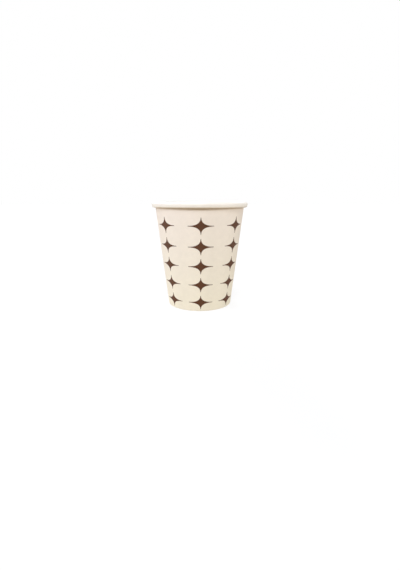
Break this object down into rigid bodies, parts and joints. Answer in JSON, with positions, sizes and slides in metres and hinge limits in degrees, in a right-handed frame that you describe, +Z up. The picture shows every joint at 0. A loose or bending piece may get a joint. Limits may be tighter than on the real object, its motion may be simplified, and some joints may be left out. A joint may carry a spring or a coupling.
{
  "type": "paper cup",
  "caption": "Tapered single-wall paper cup with a curled rim, a side seam, a raised bottom held by a folded hem, and a printed field of four-point stars.",
  "frame": {"origin": "centre of the base, on the table", "axes": "+Z up along the cup's axis; a column of stars faces -Y, and the side seam is at the back, towards +Y"},
  "size_m": [0.073, 0.073, 0.079],
  "materials": {
    "wall_board": "coated white paperboard, satin",
    "bottom_board": "coated white paperboard, satin",
    "star_ink": "brown ink, matte"
  },
  "bodies": {
    "root": {"sidewall": "wall_board", "bottom_disc": "bottom_board", "star_print": "star_ink"}
  },
  "joints": []
}
